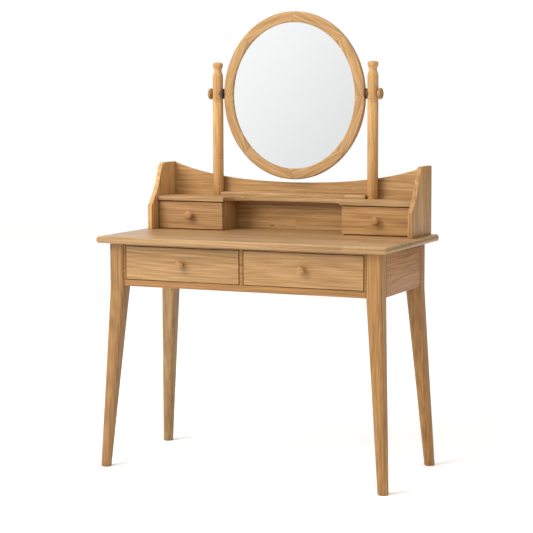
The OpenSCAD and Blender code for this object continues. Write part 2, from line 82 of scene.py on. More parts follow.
# sums of sockets, written as sums in Python
class Value:
    def __init__(self, finish, socket):
        self.finish = finish
        self.socket = socket

    def does(self, operation, *values):
        made = self.finish.add("ShaderNodeMath", {"operation": operation}, dict(enumerate(values)))
        return Value(self.finish, made.outputs[0])

    def __add__(self, other):
        return self.does("ADD", self, other)

    def __radd__(self, other):
        return self.does("ADD", other, self)

    def __sub__(self, other):
        return self.does("SUBTRACT", self, other)

    def __rsub__(self, other):
        return self.does("SUBTRACT", other, self)

    def __mul__(self, other):
        return self.does("MULTIPLY", self, other)

    def __rmul__(self, other):
        return self.does("MULTIPLY", other, self)

    def __truediv__(self, other):
        return self.does("DIVIDE", self, other)

    def __rtruediv__(self, other):
        return self.does("DIVIDE", other, self)

    def least(self, other):
        return self.does("MINIMUM", self, other)

    def whole(self):
        return self.does("FLOOR", self)

    def cosine(self):
        return self.does("COSINE", self)

    def angleFrom(self, x):
        return self.does("ARCTAN2", self, x)

    def sine(self):
        return self.does("SINE", self)

    def positive(self):
        return self.does("ABSOLUTE", self)

    def root(self):
        return self.does("SQRT", self)

    def step(self, low, high):                  # 0 below low, 1 above high, smooth between
        made = self.finish.add("ShaderNodeMapRange", {"interpolation_type": "SMOOTHSTEP"},
                               {"Value": self, "From Min": low, "From Max": high})
        return Value(self.finish, made.outputs["Result"])


class Tree:
    def __init__(self, tree):
        self.tree = tree

    def feed(self, target, value):
        if isinstance(value, Value):
            value = value.socket
        if isinstance(value, bpy.types.NodeSocket):
            self.tree.links.new(value, target)
        else:
            target.default_value = value

    def add(self, kind, settings=None, sockets=None):
        made = self.tree.nodes.new(kind)
        for key, value in (settings or {}).items():
            if key == "stops":
                ramp = made.color_ramp
                while len(ramp.elements) < len(value):
                    ramp.elements.new(0.5)
                for element, (position, color) in zip(ramp.elements, value):
                    element.position = position
                    element.color = (*color, 1)
            else:
                setattr(made, key, value)
        for key, value in (sockets or {}).items():
            self.feed(made.inputs[key], value)
        return made

    def value(self, made, output=0):
        return Value(self, made.outputs[output])

    def split(self, vector):                         # x, y and z as values
        made = self.add("ShaderNodeSeparateXYZ", None, {0: vector})
        return [self.value(made, k) for k in range(3)]

    def vector(self, x, y, z):
        return self.add("ShaderNodeCombineXYZ", None, {0: x, 1: y, 2: z}).outputs[0]

    def blend(self, kind, amount, first, second):    # colours, mixed by a number
        made = self.add("ShaderNodeMix", {"data_type": "RGBA", "blend_type": kind},
                        {0: amount, 6: first, 7: second})
        return made.outputs[2]


class Finish(Tree):
    def __init__(self, name, owner=None):
        self.material = owner or bpy.data.materials.new(name)
        self.material.use_nodes = True
        super().__init__(self.material.node_tree)
        self.tree.nodes.clear()

    def surface(self, sockets):
        shader = self.add("ShaderNodeBsdfPrincipled", None, sockets)
        self.add("ShaderNodeOutputMaterial", None, {"Surface": shader.outputs[0]})
        return self.material


class Shape(Tree):                                   # a Geometry Nodes tree with named inputs
    kinds = {float: "NodeSocketFloat", int: "NodeSocketInt", tuple: "NodeSocketVector",
             bpy.types.Material: "NodeSocketMaterial"}

    def __init__(self, name, sizes):
        super().__init__(bpy.data.node_groups.new(name, "GeometryNodeTree"))
        self.tree.is_modifier = True
        inputs = self.tree.interface
        inputs.new_socket("Geometry", in_out="INPUT", socket_type="NodeSocketGeometry")
        self.sizes = {inputs.new_socket(label, in_out="INPUT", socket_type=self.kinds[type(value)])
                      .identifier: value for label, value in sizes.items()}
        inputs.new_socket("Geometry", in_out="OUTPUT", socket_type="NodeSocketGeometry")
        self.given = self.add("NodeGroupInput").outputs

    def size(self, label):
        return Value(self, self.given[label])

    def moved(self, geometry, **how):
        return self.add("GeometryNodeTransform", None, {"Geometry": geometry, **{
            key.capitalize(): value for key, value in how.items()}}).outputs[0]

    def build(self, geometry, start):                # a plain mesh, grown from the start mesh
        real = self.add("GeometryNodeRealizeInstances", None, {0: geometry}).outputs[0]
        dressed = self.add("GeometryNodeSetMaterial", None, {
            "Geometry": real, "Material": self.given["Material"]}).outputs[0]
        self.add("NodeGroupOutput", None, {0: dressed})
        carrier = bpy.data.objects.new("carrier", start)
        scene.collection.objects.link(carrier)
        modifier = carrier.modifiers.new("shape", "NODES")
        modifier.node_group = self.tree
        for identifier, value in self.sizes.items():
            modifier[identifier] = value
        graph = bpy.context.evaluated_depsgraph_get()
        mesh = bpy.data.meshes.new_from_object(carrier.evaluated_get(graph))
        bpy.data.objects.remove(carrier)
        return mesh


# wood: along is the grain's axis, across the axis over the face's width
oakLook = {
    "pale": (0.465, 0.276, 0.112), "middle": (0.352, 0.190, 0.069), "dark": (0.225, 0.112, 0.037),
    "pore": (0.120, 0.052, 0.018), "staveLength": 0.62, "staveWidth": 0.085, "staveShade": 0.16,
    "ringSpacing": 0.0085, "ringStrength": 0.20, "streakStrength": 0.36, "lineStrength": 0.95,
    "streakAcross": 52.0, "streakAlong": 2.6, "lineAcross": 215.0, "lineAlong": 6.0,
    "broadStrength": 0.42, "fibreStrength": 0.25, "poreStrength": 0.35, "knotShare": 0.16,
    "roughness": 0.50, "coat": 0.05, "coatRoughness": 0.24, "bump": 0.10, "bumpDepth": 0.0006,
    "tone": (1.0, 1.0, 1.0), "seams": False, "middleAt": 0.46, "baseShade": 0.44,
    "endGrainShade": 0.16, "knotShade": 0.7, "jointShade": 0.35}
oneBoard = {"staveWidth": 2.5, "staveLength": 3.0}       # too large for any joint to show
legBoard = {**oneBoard, "broadStrength": 0.6}


def makeWood(name, order, shift=(0, 0, 0), **changes):
    look = {**oakLook, **changes}
    f = Finish(name)
    if order == "uv":
        at = f.add("ShaderNodeUVMap", {"uv_map": "grain"}).outputs["UV"]
    else:
        at = f.add("ShaderNodeTexCoord").outputs["Object"]
    at = f.add("ShaderNodeMapping", {"vector_type": "POINT"},
               {"Vector": at, "Location": shift}).outputs[0]
    parts = f.split(at)
    letters = "xyz" if order == "uv" else order
    along, across, deep = (parts["xyz".index(letter)] for letter in letters)
    point = f.vector

    def noise(u, v, w, detail=3.0, seed=0.0, roughness=0.55):
        return f.value(f.add("ShaderNodeTexNoise", {"noise_dimensions": "4D"}, {
            "Vector": point(u, v, w), "W": seed, "Scale": 1.0, "Detail": detail,
            "Roughness": roughness}))

    # glued staves, each with its own tone and its own grain
    brick = f.add("ShaderNodeTexBrick", {"offset": 0.37, "squash": 1.0}, {
        "Vector": point(along, across, 0.0), "Color1": (0, 0, 0, 1), "Color2": (1, 1, 1, 1),
        "Mortar": (0.5, 0.5, 0.5, 1), "Scale": 1.0, "Mortar Size": 0.0004, "Mortar Smooth": 0.2,
        "Brick Width": look["staveLength"], "Row Height": look["staveWidth"]})
    stave = f.value(f.add("ShaderNodeSeparateColor", None, {0: brick.outputs["Color"]}))
    joint = f.value(brick, "Fac")
    if look["seams"]:
        through, stave = f.split(f.add("ShaderNodeUVMap", {"uv_map": "seam"}).outputs["UV"])[:2]
        joint = 1.0 - through.least(1.0 - through).step(0.0008, 0.0052)
    seed = stave * 37.0

    sway = noise(along * 1.6, across * 5.0, deep * 5.0, 2.0, seed) - 0.5
    off = across + sway * 0.022 + stave * 0.4
    back = deep + along * 0.035 + sway * 0.03 + 0.05 + stave * 0.11
    rings = ((off * off * 0.4 + back * back).root() * (math.tau / look["ringSpacing"])
             + sway * 9.0).sine() * 0.5 + 0.5
    wide, fine = look["streakAcross"], look["lineAcross"]
    streaks = noise(along * look["streakAlong"], across * wide + sway * 2.4, deep * wide, 4.0,
                    seed + 3.0)
    lines = noise(along * look["lineAlong"], across * fine + sway * 7.0, deep * fine, 2.0,
                  seed + 5.0)
    broad = noise(along * 1.2, across * 9.0, deep * 9.0, 2.0, seed + 9.0)
    fibres = noise(along * 14.0, across * 520.0, deep * 520.0, 2.0, 0.0, 0.6)
    pores = noise(along * 26.0, across * 900.0, deep * 900.0, 1.0, 2.0).step(0.60, 0.72)

    knots = f.add("ShaderNodeTexVoronoi", {"feature": "F1"}, {
        "Vector": point(along * 6.1, across * 13.3, deep * 6.0), "Scale": 1.0, "Randomness": 1.0})
    chosen = f.value(f.add("ShaderNodeSeparateColor", None, {0: knots.outputs["Color"]}))
    knot = (1.0 - f.value(knots, "Distance").step(0.015, 0.085)) * chosen.step(
        1.0 - look["knotShare"], 1.0 - look["knotShare"] + 0.01)

    normal = f.split(f.add("ShaderNodeTexCoord").outputs["Normal"])
    facing = normal["xyz".index(letters[0])].positive()
    endGrain = facing.step(0.75, 0.95) if order != "uv" else facing * 0.0

    shade = ((streaks - 0.5) * (2.0 * look["streakStrength"]) * (1.0 - endGrain * 0.7)
             + (lines - 0.5) * (2.0 * look["lineStrength"]) * (1.0 - endGrain * 0.85)
             + (broad - 0.5) * look["broadStrength"]
             + (rings - 0.5) * look["ringStrength"] * (0.4 + broad)
             + (fibres - 0.5) * look["fibreStrength"] + look["baseShade"]
             + (stave - 0.5) * look["staveShade"] + endGrain * look["endGrainShade"])
    stops = [(0.0, look["pale"]), (look["middleAt"], look["middle"]), (1.0, look["dark"])]
    color = f.add("ShaderNodeValToRGB", {"stops": stops}, {0: shade}).outputs[0]
    color = f.blend("MIX", pores * look["poreStrength"] * (0.35 + rings * 0.65), color,
                    (*look["pore"], 1))
    color = f.blend("MIX", knot * look["knotShade"], color, (*look["pore"], 1))
    color = f.blend("MIX", joint * look["jointShade"], color, (*look["pore"], 1))
    color = f.blend("MULTIPLY", 1.0, color, (*look["tone"], 1))
    height = fibres * 0.5 - pores * 0.8 - joint * 0.6 + rings * 0.15
    bump = f.add("ShaderNodeBump", None, {
        "Strength": look["bump"], "Distance": look["bumpDepth"], "Height": height})
    return f.surface({
        "Base Color": color, "Roughness": look["roughness"] + (fibres - 0.5) * 0.12 + pores * 0.12,
        "Normal": bump.outputs[0], "Coat Weight": look["coat"],
        "Coat Roughness": look["coatRoughness"], "IOR": 1.45})


woods = {
    "top": makeWood("oakTop", "xyz", (0.21, 0.31, 0), staveWidth=0.098, staveLength=0.9,
                    tone=(0.88, 0.90, 0.97), roughness=0.42, coat=0.12, staveShade=0.26,
                    streakAcross=36.0, streakAlong=0.55, streakStrength=0.55, lineAcross=125.0,
                    lineAlong=1.6, lineStrength=1.3, fibreStrength=0.5, broadStrength=0.3),
    "rail": makeWood("oakRail", "xzy", (0.2, 0.0, 0.7), staveLength=3.0, staveWidth=0.3,
                     tone=(0.85, 0.76, 0.62)),
    "drawerLeft": makeWood("oakDrawerLeft", "xzy", (0.47, 0.4, 0.02), tone=(0.90, 0.915, 0.93),
                           **oneBoard),
    "drawerRight": makeWood("oakDrawerRight", "xzy", (2.1, 1.7, 0.02), tone=(0.905, 0.89, 0.875),
                            **oneBoard),
    "smallLeft": makeWood("oakSmallLeft", "xzy", (3.3, 0.7, 0.3), tone=(0.975, 0.96, 1.02),
                          **oneBoard),
    "smallRight": makeWood("oakSmallRight", "xzy", (5.1, 2.7, 0.6), tone=(1.015, 0.985, 0.94),
                           **oneBoard),
    "back": makeWood("oakBack", "xzy", (0.9, 0.05, 0.2), staveWidth=0.052, staveLength=0.55,
                     staveShade=0.26, tone=(1.09, 1.11, 1.13)),
    "shelf": makeWood("oakShelf", "xyz", (1.7, 0.6, 0.4), staveWidth=0.3, staveLength=3.0,
                      tone=(1.09, 1.16, 1.38)),
    "aprons": makeWood("oakAprons", "yzx", (0.3, 0.03, 0.2), tone=(0.885, 0.735, 0.565),
                       streakStrength=0.42, lineStrength=1.3, **oneBoard),
    "sides": makeWood("oakSides", "zyx", (0.1, 0.21, 0.5), staveWidth=0.062, staveLength=3.0,
                      tone=(1.06, 1.04, 1.05), lineStrength=1.2),
    # painted light: a much brighter copy of the sides' oak for the left hutch side, lifting its
    # inner face out of the shade of the hutch corner
    "sideLeftLit": makeWood("oakSideLeft", "zyx", (0.6, 0.37, 0.9), staveWidth=0.062,
                         staveLength=3.0, tone=(1.39, 1.46, 1.56), lineStrength=1.2),
    "leg_front_right": makeWood("oakLegA", "zxy", (0.0, 0.3, 0.4), tone=(0.84, 0.75, 0.58),
                                **legBoard),
    # the front left leg's darker tone is partly natural variation between legs and partly painted
    # shade, for its side that stands under the table
    "leg_front_left": makeWood("oakLegB", "zxy", (0.4, 1.3, 1.4), tone=(0.71, 0.65, 0.56),
                               **legBoard),
    "leg_back_right": makeWood("oakLegC", "zxy", (0.9, 0.8, 2.4), tone=(0.75, 0.64, 0.45),
                               **legBoard),
    "leg_back_left": makeWood("oakLegD", "zxy", (0.2, 2.1, 3.4), tone=(0.76, 0.80, 0.82),
                              **legBoard),
    "posts": makeWood("oakPosts", "zxy", (0.7, 0.3, 0.9), tone=(1.29, 1.31, 1.32),
                      streakStrength=0.30, lineStrength=0.6, **oneBoard),
    "knobs": makeWood("oakKnobs", "yxz", (0.1, 0.5, 0.3), tone=(1.04, 1.04, 1.04), **oneBoard),
    "clamps": makeWood("oakClamps", "xyz", (0.1, 0.5, 0.3), **oneBoard),
    "ring": makeWood("oakRing", "uv", (0, 0, 0), staveWidth=9.0, staveLength=9.0,
                     tone=(1.08, 1.13, 1.22), staveShade=0.08, streakStrength=0.14,
                     broadStrength=0.10, ringStrength=0.10, lineStrength=1.2,
                     lineAcross=250.0, lineAlong=9.0, seams=True),
    "plain": makeWood("plainWood", "yxz", (0.4, 0.1, 0.2), pale=(0.66, 0.48, 0.28),
                      middle=(0.56, 0.39, 0.21), dark=(0.40, 0.25, 0.12), coat=0.0,
                      roughness=0.6, staveWidth=0.14, staveLength=2.0, ringStrength=0.35,
                      lineStrength=0.3),
    "saddle": makeWood("darkWood", "xyz", (0, 0, 0), pale=(0.150, 0.058, 0.014),
                       middle=(0.105, 0.038, 0.009), dark=(0.055, 0.019, 0.005), coat=0.1,
                       knotShare=0.0, staveWidth=9, staveLength=9),
    "board": makeWood("backingBoard", "xzy", (0, 0, 0), pale=(0.30, 0.19, 0.10),
                      middle=(0.23, 0.14, 0.075), dark=(0.15, 0.09, 0.05), coat=0.0,
                      roughness=0.7, streakStrength=0.25, knotShare=0.0, staveWidth=9,
                      staveLength=9),
}
print("woods made:", len(woods))


metalLook = {"scratchScale": (900, 90, 90), "scratchDepth": 0.0002, "scratchStrength": 0.3,
             "cloudScale": 60.0, "cloudColor": (0.6, 0.6, 0.62, 1), "cloudStrength": 0.3}


def makeMetal(name, color, roughness):
    f = Finish(name)
    at = f.add("ShaderNodeTexCoord").outputs["Object"]
    stretched = f.add("ShaderNodeMapping", None, {
        "Vector": at, "Scale": metalLook["scratchScale"]}).outputs[0]
    grain = f.value(f.add("ShaderNodeTexNoise", None, {"Vector": stretched, "Detail": 2.0}))
    cloud = f.value(f.add("ShaderNodeTexNoise", None, {
        "Vector": at, "Scale": metalLook["cloudScale"]}))
    tint = f.blend("MULTIPLY", cloud * metalLook["cloudStrength"], (*color, 1),
                   metalLook["cloudColor"])
    bump = f.add("ShaderNodeBump", None, {
        "Strength": metalLook["scratchStrength"], "Distance": metalLook["scratchDepth"],
        "Height": grain})
    return f.surface({"Base Color": tint, "Metallic": 1.0, "Roughness": roughness + grain * 0.15,
                      "Normal": bump.outputs[0]})


rubberLook = {"dark": (0.012, 0.012, 0.013, 1), "light": (0.030, 0.030, 0.032, 1),
              "speckleScale": 1800.0, "bump": 0.2, "bumpDepth": 0.0002}


def makeRubber(name):
    f = Finish(name)
    speckle = f.value(f.add("ShaderNodeTexNoise", None, {
        "Vector": f.add("ShaderNodeTexCoord").outputs["Object"],
        "Scale": rubberLook["speckleScale"]}))
    bump = f.add("ShaderNodeBump", None, {
        "Strength": rubberLook["bump"], "Distance": rubberLook["bumpDepth"], "Height": speckle})
    tint = f.blend("MIX", speckle, rubberLook["dark"], rubberLook["light"])
    return f.surface({"Base Color": tint, "Roughness": 0.45 + speckle * 0.15,
                      "Normal": bump.outputs[0]})


mirrorLook = {"dim": (0.880, 0.895, 0.900, 1), "clear": (0.900, 0.912, 0.915, 1),
              "hazeScale": 5.0, "roughness": 0.03}


def makeMirror(name):
    f = Finish(name)
    haze = f.value(f.add("ShaderNodeTexNoise", None, {
        "Vector": f.add("ShaderNodeTexCoord").outputs["Object"],
        "Scale": mirrorLook["hazeScale"], "Detail": 1.0}))
    tint = f.blend("MIX", haze, mirrorLook["dim"], mirrorLook["clear"])
    return f.surface({"Base Color": tint, "Metallic": 1.0,
                      "Roughness": haze * mirrorLook["roughness"]})


metals = {"steel": makeMetal("zincSteel", (0.62, 0.62, 0.64), 0.28),
          "brass": makeMetal("plainBrass", (0.75, 0.55, 0.25), 0.25)}
rubber = makeRubber("blackRubber")
silvered = makeMirror("silveredGlass")


# makes an object that rides and stands for CAD pieces
def place(mesh, name, material, *stood):
    piece = bpy.data.objects.new(name, mesh)
    scene.collection.objects.link(piece)
    mesh.materials.clear()
    mesh.materials.append(material)
    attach(piece, bodyOf[stood[0]])
    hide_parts(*stood)
    return piece


def closeUp(bm, name, sharpAngle=35):
    bmesh.ops.recalc_face_normals(bm, faces=bm.faces)
    for face in bm.faces:
        face.smooth = True
    sharp = math.radians(sharpAngle)
    for edge in bm.edges:
        edge.smooth = len(edge.link_faces) == 2 and edge.calc_face_angle(0) < sharp
    mesh = bpy.data.meshes.new(name)
    bm.to_mesh(mesh)
    bm.free()
    return mesh


# a CAD piece's copy with its long edges softened
softLook = {"width": 0.0016, "drawerWidth": 0.0008, "segments": 3, "shortest": 0.003, "angle": 32,
            "mergeWithin": 2e-6, "flatWithin": 0.5}


def soften(node, material, width=softLook["width"]):
    bm = bmesh.new()
    bm.from_mesh(nodes[node].data)
    bmesh.ops.remove_doubles(bm, verts=bm.verts, dist=softLook["mergeWithin"])
    bmesh.ops.dissolve_limit(bm, angle_limit=math.radians(softLook["flatWithin"]), verts=bm.verts,
                             edges=bm.edges)
    weight = bm.edges.layers.float.new("bevel_weight_edge")
    for edge in bm.edges:
        bend = edge.calc_face_angle(0) if len(edge.link_faces) == 2 else 0
        if bend > math.radians(softLook["angle"]) and edge.calc_length() > softLook["shortest"]:
            edge[weight] = 1.0
    name = node + "_wood"
    piece = place(closeUp(bm, name, softLook["angle"]), name, material, node)
    for edge in piece.data.edges:
        if piece.data.attributes["bevel_weight_edge"].data[edge.index].value > 0:
            edge.use_edge_sharp = False
    bevel = piece.modifiers.new("softEdges", "BEVEL")
    bevel.width = width
    bevel.segments = softLook["segments"]
    bevel.limit_method = "WEIGHT"
    bevel.harden_normals = True
    bevel.use_clamp_overlap = True


softPieces = {
    "front_rail": "rail", "centre_divider": "rail", "side_apron_left": "aprons",
    "side_apron_right": "aprons", "back_apron": "back", "hutch_side_left": "sideLeftLit",
    "hutch_side_right": "sides", "hutch_back": "back", "hutch_shelf": "shelf",
    "hutch_ledge": "shelf", "small_divider_left": "sides", "small_divider_right": "sides",
    "side_runner_left": "rail", "side_runner_right": "rail", "centre_runner": "plain",
    "main_left_front": "drawerLeft", "main_right_front": "drawerRight",
    "small_left_front": "smallLeft", "small_right_front": "smallRight"}
for node, wood in softPieces.items():
    soften(node, woods[wood])
for drawer in ("main_left", "main_right", "small_left", "small_right"):
    for part in ("sides", "back", "bottom"):
        soften(f"{drawer}_{part}", woods["plain"], softLook["drawerWidth"])
print("flat pieces softened")


def skin(rings, name, sharpAngle=35, hold=0.0):          # closed shell through rings of points
    bm = bmesh.new()
    made = [[bm.verts.new(p) for p in ring] for ring in rings]
    count = len(rings[0])
    for low, high in zip(made, made[1:]):
        for i in range(count):
            j = (i + 1) % count
            bm.faces.new((low[i], low[j], high[j], high[i]))
    caps = [bm.faces.new(made[0]), bm.faces.new(made[-1])]
    if hold:
        bmesh.ops.recalc_face_normals(bm, faces=bm.faces)
        bmesh.ops.inset_individual(bm, faces=caps, thickness=hold, use_even_offset=True)
    return closeUp(bm, name, sharpAngle)


# tabletop: round nose at the front and sides, almost square at the back
topLook = {"plan": 0.012, "nose": 0.011, "backNose": 0.003, "noseSteps": 14, "cornerSteps": 8,
           "capEdge": 0.001, "battenHeight": 0.0075, "battenWidth": 0.020, "battenSunk": 0.001,
           "battenEdge": 0.0008, "dividerGap": 0.00015, "stileGap": 0.00235}


def battens():                  # the strip glued under the top, either side of the divider
    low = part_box("tabletop")[0]
    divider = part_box("centre_divider")
    inner = divider[1].x + topLook["dividerGap"]
    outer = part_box("main_right_front")[1].x + topLook["stileGap"]
    front = divider[0].y
    for side in (-1, 1):
        bm = bmesh.new()
        bmesh.ops.create_cube(bm, size=1.0)
        ends = sorted((side * inner, side * outer))
        size = Vector((ends[1] - ends[0], topLook["battenWidth"],
                       topLook["battenHeight"] + topLook["battenSunk"]))
        at = Vector(((ends[0] + ends[1]) / 2, front + size.y / 2, low.z + size.z / 2))
        bmesh.ops.transform(bm, verts=bm.verts, matrix=Matrix.Translation(at)
                            @ Matrix.Diagonal((*size, 1)))
        bmesh.ops.bevel(bm, geom=bm.edges[:], offset=topLook["battenEdge"], segments=2,
                        affect="EDGES")
        yield closeUp(bm, "batten")


def joined(*meshes):            # one mesh from several
    bm = bmesh.new()
    for mesh in meshes:
        bm.from_mesh(mesh)
    mesh = bpy.data.meshes.new(meshes[0].name)
    bm.to_mesh(mesh)
    bm.free()
    return mesh


def buildTop():
    low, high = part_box("tabletop")
    low.z += topLook["battenHeight"]
    r = topLook["plan"]
    outline = []
    corners = [(high.x - r, low.y + r, -90), (high.x - r, high.y - r, 0),
               (low.x + r, high.y - r, 90), (low.x + r, low.y + r, 180)]
    for cx, cy, start in corners:
        for i in range(topLook["cornerSteps"] + 1):
            a = math.radians(start + 90 * i / topLook["cornerSteps"])
            outline.append((cx + r * math.cos(a), cy + r * math.sin(a), math.cos(a), math.sin(a)))
    middle = (low.z + high.z) / 2
    half = (high.z - low.z) / 2
    rings = []
    for i in range(topLook["noseSteps"] + 1):
        t = math.radians(-90 + 180 * i / topLook["noseSteps"])
        ring = []
        for x, y, nx, ny in outline:
            backShare = max(0.0, ny)
            depth = topLook["nose"] * (1 - backShare) + topLook["backNose"] * backShare
            inset = depth * (1 - math.cos(t))
            ring.append((x - nx * inset, y - ny * inset, middle + half * math.sin(t)))
        rings.append(ring)
    shell = skin(rings, "tabletop_wood", hold=topLook["capEdge"])
    place(joined(shell, *battens()), "tabletop_wood", woods["top"], "tabletop")


buildTop()

# legs: rounded square above, turning into a round splayed foot
legLook = {"square": 0.051, "corner": 0.009, "taperDrop": 0.147, "foot": 0.034, "splayX": 0.039,
           "splayY": 0.040, "chamfer": 0.0025, "cornerSteps": 7, "rounding": 0.8,
           "heightSteps": 16, "shoulder": 0.004, "flatEdge": 0.0012, "flatShare": 0.4,
           "flatLeast": 0.00002}


def buildLeg(node, sideways, forwards):
    low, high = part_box(node)
    top = high.z
    taperTop = top - legLook["taperDrop"]
    half, foot = legLook["square"] / 2, legLook["foot"] / 2
    cx = (high.x - foot if sideways > 0 else low.x + foot) - sideways * legLook["splayX"]
    cy = (high.y - foot if forwards > 0 else low.y + foot) - forwards * legLook["splayY"]

    def ring(z, shrink=0.0):
        k = max(0.0, (taperTop - z) / taperTop)
        size = half + (foot - half) * k - shrink
        rounder = (foot - legLook["corner"]) * k ** legLook["rounding"]
        corner = min(size, legLook["corner"] + rounder)
        x0, y0 = cx + sideways * legLook["splayX"] * k, cy + forwards * legLook["splayY"] * k
        points = []
        for quarter, (sx, sy) in enumerate(((1, 1), (-1, 1), (-1, -1), (1, -1))):
            steps = [90 * i / legLook["cornerSteps"] for i in range(legLook["cornerSteps"] + 1)]
            held = min(legLook["flatEdge"],
                       (size - corner) * legLook["flatShare"] + legLook["flatLeast"])
            for i, step in enumerate([0] + steps + [90]):
                a = math.radians(90 * quarter + step)
                back = held if i == 0 else -held if i == len(steps) + 1 else 0.0
                points.append((
                    x0 + sx * (size - corner) + corner * math.cos(a) + back * math.sin(a),
                    y0 + sy * (size - corner) + corner * math.sin(a) - back * math.cos(a), z))
        return points

    count = legLook["heightSteps"]
    heights = [top, taperTop + legLook["shoulder"]]
    heights += [taperTop * (1 - i / count) for i in range(count)]
    rings = [ring(z) for z in heights] + [ring(legLook["chamfer"]), ring(0.0, legLook["chamfer"])]
    place(skin(rings, node + "_wood", 50), node + "_wood", woods[node], node)


for node, sideways, forwards in (("leg_front_left", -1, -1), ("leg_front_right", 1, -1),
                                 ("leg_back_left", -1, 1), ("leg_back_right", 1, 1)):
    buildLeg(node, sideways, forwards)
print("tabletop and legs built")


# turned pieces: a smooth profile of (radius, height) spun about an axis
profileLook = {"steps": 5, "shortest": 0.0022, "longest": 0.06, "tip": 0.0002, "sharpAngle": 60}


def smoothProfile(points):      # a curve through the points; very short and long spans stay straight
    out = []
    for i in range(len(points) - 1):
        p = [Vector(points[max(0, min(len(points) - 1, i + k))]) for k in (-1, 0, 1, 2)]
        if not profileLook["shortest"] <= (p[2] - p[1]).length <= profileLook["longest"]:
            out.append(tuple(p[1]))
            continue
        for s in range(profileLook["steps"]):
            t = s / profileLook["steps"]
            q = 0.5 * ((2 * p[1]) + (p[2] - p[0]) * t
                       + (2 * p[0] - 5 * p[1] + 4 * p[2] - p[3]) * t * t
                       + (3 * p[1] - p[0] - 3 * p[2] + p[3]) * t ** 3)
            out.append(tuple(q))
    return out + [tuple(points[-1])]


def turned(profile, origin, axis, name, steps):
    spin = Vector((0, 0, 1)).rotation_difference(Vector(axis)).to_matrix()
    rings = []
    for r, h in profile:
        r = max(r, profileLook["tip"])
        rings.append([Vector(origin) + spin @ Vector(
            (r * math.cos(math.tau * i / steps), r * math.sin(math.tau * i / steps), h))
            for i in range(steps)])
    return skin(rings, name, profileLook["sharpAngle"])


postLook = {"ring": 0.024, "ringDepth": 0.0013, "grooveStep": 0.0014, "footEdge": 0.001,
            "steps": 56}


def buildPost(node):
    low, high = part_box(node)
    r = (high.y - low.y) / 2
    h = high.z - low.z
    pivot = (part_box("clamp_bolt_left")[0].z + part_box("clamp_bolt_left")[1].z) / 2
    ring = pivot - low.z - postLook["ring"]
    g, s, e = postLook["ringDepth"], postLook["grooveStep"], postLook["footEdge"]
    shaft = [(r - e, 0), (r, e), (r, ring - 3 * s), (r - g, ring - 2 * s), (r, ring - s),
             (r, ring + s), (r - g, ring + 2 * s), (r, ring + 3 * s)]
    head = [(r, h - 0.052), (r * 0.995, h - 0.047), (r * 0.93, h - 0.041), (r * 0.80, h - 0.034),
            (r * 0.735, h - 0.028), (r * 0.75, h - 0.024), (r * 0.84, h - 0.020),
            (r * 0.95, h - 0.0155), (r * 0.995, h - 0.011), (r * 0.98, h - 0.0065),
            (r * 0.86, h - 0.0028), (r * 0.55, h - 0.0008), (0, h)]
    centre = ((low.x + high.x) / 2, (low.y + high.y) / 2, low.z)
    name = node + "_wood"
    place(turned(shaft + smoothProfile(head), centre, (0, 0, 1), name, postLook["steps"]), name,
          woods["posts"], node)


buildPost("mirror_post_left")
buildPost("mirror_post_right")


# the profile's points are shares of the knob's radius and length
knobLook = {"steps": 40, "profile": [
    (0.60, 0), (0.585, 0.06), (0.50, 0.20), (0.49, 0.32), (0.60, 0.42), (0.86, 0.50),
    (0.995, 0.62), (0.985, 0.74), (0.87, 0.87), (0.62, 0.955), (0.30, 0.99), (0, 1)]}


def buildKnob(node):
    low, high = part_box(node)
    radius, length = (high.x - low.x) / 2, high.y - low.y
    profile = smoothProfile([(radius * r, length * h) for r, h in knobLook["profile"]])
    centre = ((low.x + high.x) / 2, high.y, (low.z + high.z) / 2)
    name = node + "_wood"
    place(turned(profile, centre, (0, -1, 0), name, knobLook["steps"]), name, woods["knobs"], node)


for drawer in ("main_left", "main_right", "small_left", "small_right"):
    buildKnob(drawer + "_knob")


clampLook = {"steps": 48}


def buildClamp(node, side):
    low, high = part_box(node)
    r, l = (high.z - low.z) / 2, high.x - low.x
    profile = [(r - 0.0065, 0), (r - 0.0050, 0.0020), (r - 0.0018, 0.0034), (r - 0.0004, 0.0048),
               (r, 0.0062), (r, l - 0.0046), (r - 0.0005, l - 0.0026), (r - 0.0018, l - 0.0010),
               (r - 0.0036, l - 0.0001), (r * 0.55, l - 0.0001), (r * 0.5, l - 0.0006),
               (0, l - 0.0008)]
    centre = (low.x if side > 0 else high.x, (low.y + high.y) / 2, (low.z + high.z) / 2)
    name = node + "_wood"
    place(turned(profile, centre, (side, 0, 0), name, clampLook["steps"]), name, woods["clamps"],
          node)


buildClamp("clamp_knob_left", -1)
buildClamp("clamp_knob_right", 1)
print("turned pieces built")

# mirror frame: sawn segments glued into an oval, the grain straight in each
ringLook = {"steps": 192, "segments": 8, "face": 0.036, "rebate": 0.008, "lip": 0.0058,
            "sharpAngle": 40, "seed": 6}


